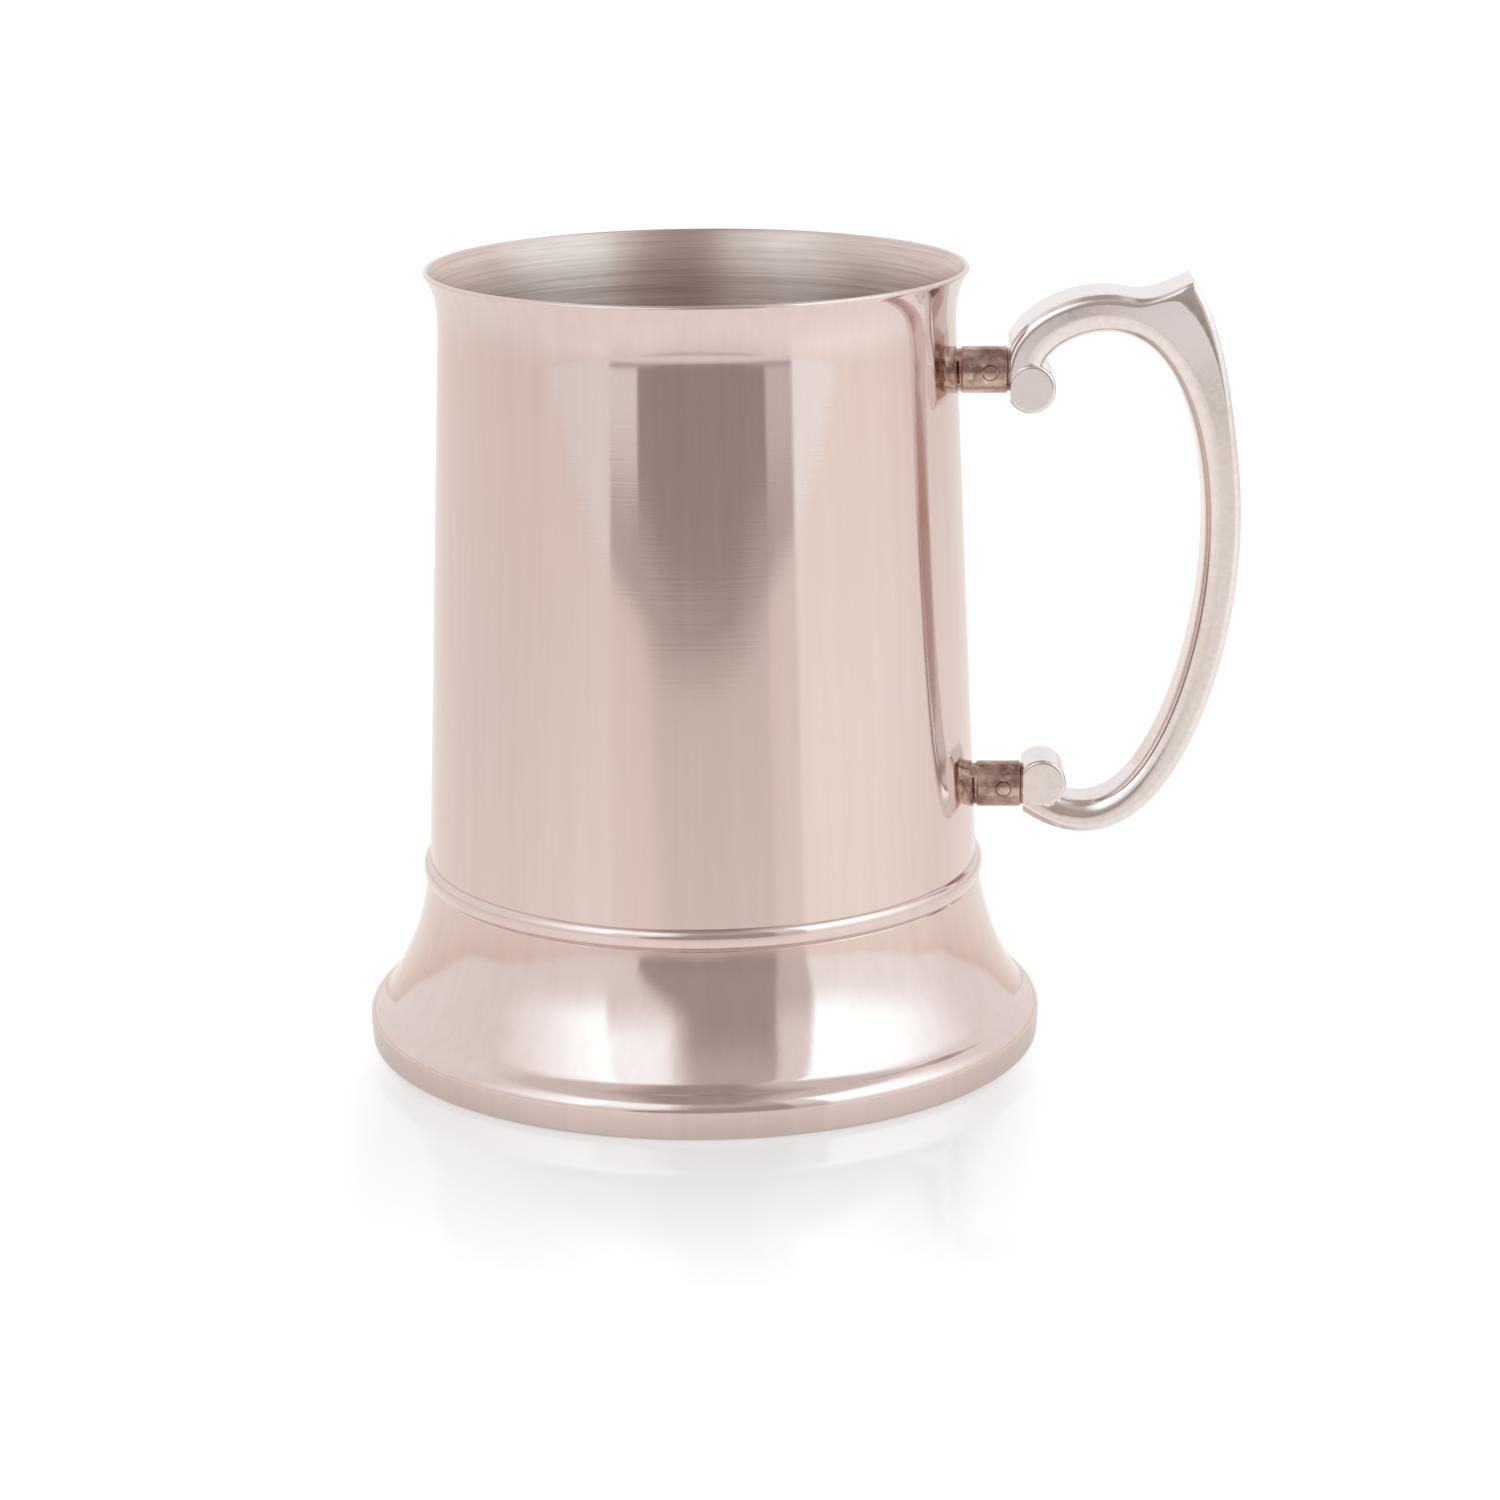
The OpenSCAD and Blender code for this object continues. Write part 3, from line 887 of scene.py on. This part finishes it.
def floor_material():
    """White sheet with a faint mirror image in front of the foot, fading away from it."""
    f = Finish("white_floor")
    white = f.add("BsdfDiffuse", {"Color": colour(0.30, 0.30, 0.30)}).outputs[0]
    glow = f.add("Emission", {"Color": colour(1, 1, 1), "Strength": 0.80}).outputs[0]
    base = f.add("AddShader", {0: white, 1: glow}).outputs[0]
    mirror = f.add("BsdfGlossy", {"Color": colour(0.60, 0.585, 0.575), "Roughness": 0.10}).outputs[0]
    away = f.fit(f.radius(), *MIRROR_AWAY, MIRROR_SHARE, 0)
    aside = f.math("ABSOLUTE", f.axis("X"))
    in_front = f.fit(f.axis("Y"), *MIRROR_BACK, 1, 0)
    below = f.math("MULTIPLY", f.fit(aside, *MIRROR_SIDE, 1, 0), in_front)
    share = f.math("MULTIPLY", away, below)
    return f.surface(f.add("MixShader", {0: share, 1: base, 2: mirror}).outputs[0])


def white_level(f, x, y):
    """How white the surroundings are: in front brighter on the right than on the left."""
    return f.mix(f.fit(y, -0.1, 0.5), f.fit(x, -0.5, 0.5, 0.95, 1.10), 0.985)


def camera_shade(f):
    """The soft shade that the camera casts on the table's front edge."""
    across = f.math("DIVIDE", f.math("SUBTRACT", f.axis("X"), SHADE_ASIDE), SHADE_WIDE)
    along = f.math("DIVIDE", f.math("ADD", f.axis("Y"), TABLE_FRONT), SHADE_DEEP)
    squares = f.math("ADD", f.math("MULTIPLY", across, across), f.math("MULTIPLY", along, along))
    return f.fit(f.math("SQRT", squares), 0.8, 1.15, 0.76, 1.0)


def table_material():
    """The table as the metal sees it: glossy white, dim where the foot or the camera shades it."""
    f = Finish("white_table_in_metal")
    foot_shade = f.fit(f.radius(), FOOT_HIGH.x - 1 * MM, FOOT_HIGH.x + FOOT_SHADE, 0.70, 1.0)
    shades = f.math("MULTIPLY", foot_shade, camera_shade(f))
    bright = f.math("MULTIPLY", white_level(f, f.axis("X"), f.axis("Y")), shades)
    beside = f.fit(f.math("ABSOLUTE", f.axis("X")), 0.08, 0.40)
    tint = f.blend(beside, colour(1, 0.985, 0.960), colour(1, 1.010, 1.010))
    white = f.add("Emission", {"Color": tint, "Strength": bright}).outputs[0]
    gloss = f.add("BsdfGlossy", {"Color": colour(0.90, 0.78, 0.68), "Roughness": 0.12}).outputs[0]
    edge_on = f.add("Fresnel", {"IOR": 1.45}).outputs[0]
    return f.surface(f.add("MixShader", {0: edge_on, 1: white, 2: gloss}).outputs[0])


def backdrop_material():
    """Plain bright white."""
    f = Finish("white_backdrop")
    return f.surface(f.add("Emission", {"Color": colour(1, 1, 1), "Strength": 1.15}).outputs[0])


def window(f, value, low, high, soft):
    """1 between two angles and 0 outside, with soft edges."""
    up = f.fit(value, low - soft, low + soft)
    down = f.fit(value, high - soft, high + soft, 1, 0)
    return f.math("MULTIPLY", up, down)


def surroundings(f):
    """Brightness of the studio by direction, for the metal to reflect.

    White walls, a softbox on each side, a dimmer ceiling, and the dark opening in front where the
    camera stands.
    """
    way = f.add("SeparateXYZ", {0: f.add("TexCoord").outputs["Generated"]}).outputs
    turned = f.math("ARCTAN2", way["X"], f.math("MULTIPLY", way["Y"], -1.0))
    aside = f.math("DIVIDE", f.math("SUBTRACT", turned, CAMERA_ROUND), DEG)
    height = f.math("DIVIDE", f.math("ARCSINE", way["Z"]), DEG)
    white = softboxes(f, aside, height, white_level(f, way["X"], way["Y"]))
    opening = window(f, aside, *OPENING, OPENING_SOFT)
    around = f.mix(opening, white, front_opening(f, aside, height))
    ceiling = f.fit(f.math("ABSOLUTE", way["X"]), 0.12, 0.34, 0.46, 0.80)
    return f.mix(f.fit(height, *CEILING_STARTS), around, ceiling)


def softboxes(f, aside, height, white):
    """The walls with a brighter panel left and right."""
    far_left = f.fit(aside, -86, -42, kind="LINEAR")
    left = f.math("MULTIPLY", far_left, f.fit(aside, *LEFT_BOX_ENDS, 1, 0))
    right = f.math("MULTIPLY", f.fit(aside, *RIGHT_BOX_STARTS), f.fit(aside, 66, 120, 1, 0))
    panels = f.math("ADD", f.math("MULTIPLY", left, 0.52), f.math("MULTIPLY", right, 0.40))
    return f.math("ADD", white, f.math("MULTIPLY", panels, f.fit(height, 5, 20)))


def front_opening(f, aside, height):
    """Screens on a dim edge of floor, beside a dark doorway."""
    low_screens = f.fit(aside, -30, 30, 0.93, 0.73)
    high_screens = f.fit(aside, -30, 30, 1.30, 0.95)
    screens = f.mix(f.fit(height, 10, 30), low_screens, high_screens)
    floor_edge = f.mix(f.fit(height, DOOR_FOOT, DOOR_FOOT + 0.15), 0.92, 0.56)
    walls = f.mix(f.fit(height, *FLOOR_ENDS), floor_edge, screens)
    dark = f.mix(f.fit(height, -6, 6), 0.39, 0.47)
    dark = f.mix(f.fit(height, 22, 42), dark, 0.63)
    return f.mix(doorway(f, aside, height), walls, dark)


def doorway(f, aside, height):
    """1 in the doorway and 0 outside: its left side slants and softens upwards, its foot is a U."""
    soft = f.fit(height, -2, 14, 1, 8)
    left = f.math("SUBTRACT", aside, f.fit(height, 0, 24, -26, -10))
    left = f.fit(f.math("DIVIDE", left, soft), -1, 1)
    sides = f.math("MULTIPLY", left, f.fit(aside, *DOOR_RIGHT, 1, 0))
    bow = f.math("ABSOLUTE", f.math("DIVIDE", f.math("SUBTRACT", aside, DOOR_MIDDLE), DOOR_HALF))
    rise = f.math("MULTIPLY", f.math("MAXIMUM", f.math("SUBTRACT", bow, 0.37), 0.0), 3.1)
    above = f.fit(f.math("SUBTRACT", height, rise), DOOR_FOOT, DOOR_FOOT + 0.2)
    return f.math("MULTIPLY", sides, above)


class Sky(Finish):
    """The same short calls on the world's node tree."""

    def __init__(self, name):
        self.world = bpy.data.worlds.new(name)
        self.world.use_nodes = True
        self.tree = self.world.node_tree


def tinted(f, level):
    """A neutral white, warmer where the studio is dark and cooler in its softboxes."""
    glare = f.math("POWER", f.math("MAXIMUM", level, 1.0), 0.3)
    green = f.math("MULTIPLY", f.math("POWER", level, 1.14), glare)
    blue = f.math("MULTIPLY", f.math("POWER", level, 1.22), glare)
    return f.add("CombineColor", {"Red": level, "Green": green, "Blue": blue}).outputs[0]


def studio():
    """White surroundings, and a soft light overhead for the floor."""
    sky = Sky("studio")
    background = sky.tree.nodes["Background"]
    sky.feed(background.inputs["Color"], tinted(sky, surroundings(sky)))
    bpy.context.scene.world = sky.world
    softbox("overhead_softbox", size=0.8, place=(0.1, 0.0, 1.0), aim=(0, 0, 0), radiance=0.5)


def softbox(name, size, place, aim, radiance):
    """A soft area light that doesn't show itself."""
    data = bpy.data.lights.new(name, "AREA")
    data.size = size
    data.energy = radiance * pi * size * size
    light = bpy.data.objects.new(name, data)
    light.location = place
    light.rotation_euler = (Vector(aim) - Vector(place)).to_track_quat("-Z", "Y").to_euler()
    light.visible_camera = False
    light.visible_glossy = False
    bpy.context.scene.collection.objects.link(light)


def backdrop():
    """A white wall all round, so that the camera never looks into the studio."""
    radius, low, high, steps = 5.9, -0.2, 5.0, 48
    angles = [2 * pi * i / steps for i in range(steps + 1)]
    rows = [[(radius * cos(a), radius * sin(a), z) for a in angles] for z in (low, high)]
    sheet_object("backdrop", rows, backdrop_material(), camera=True)


def stage():
    """Camera, light, floor, table and backdrop, with their colours shown as they are."""
    camera()
    studio()
    floor_sheet = square(FLOOR_SIDE, -FLOOR_SIDE, FLOOR_Z)
    sheet_object("floor", floor_sheet, floor_material(), camera=True)
    table = square(TABLE_SIDE, -TABLE_FRONT, TABLE_Z)
    sheet_object("table", table, table_material(), glossy=True)
    backdrop()
    view = bpy.context.scene.view_settings
    view.view_transform = "Standard"
    view.look = "None"


# ---- the tankard ----------------------------------------------------------------------------


def tankard():
    """All ten pieces, in their finishes."""
    polished = polished_shell("polished_sheet_steel", smoothest=0.058, roughest=0.088, grain_pull=0.4)
    spun = polished_shell("polished_spun_steel", smoothest=0.08, roughest=0.13, grain_pull=0.55)
    satin, disc, bright = satin_well(), satin_disc(), bright_handle()
    browned = heat_tinted("browned_steel", dark=colour(0.34, 0.215, 0.180),
                          mid=colour(0.60, 0.455, 0.390), light=colour(0.78, 0.655, 0.600))
    pin_metal = heat_tinted("browned_pin", dark=colour(0.40, 0.26, 0.21),
                            mid=colour(0.62, 0.48, 0.41), light=colour(0.76, 0.65, 0.58))
    joints = [Joint("upper"), Joint("lower")]
    body_wall(polished, satin)
    cup_bottom(disc)
    foot_skirt(spun, disc)
    seam_bead(spun)
    base_plate(disc)
    for joint in joints:
        ferrule(joint, browned)
        lock_pin(joint, pin_metal)
    handle(joints, bright)


stage()
tankard()
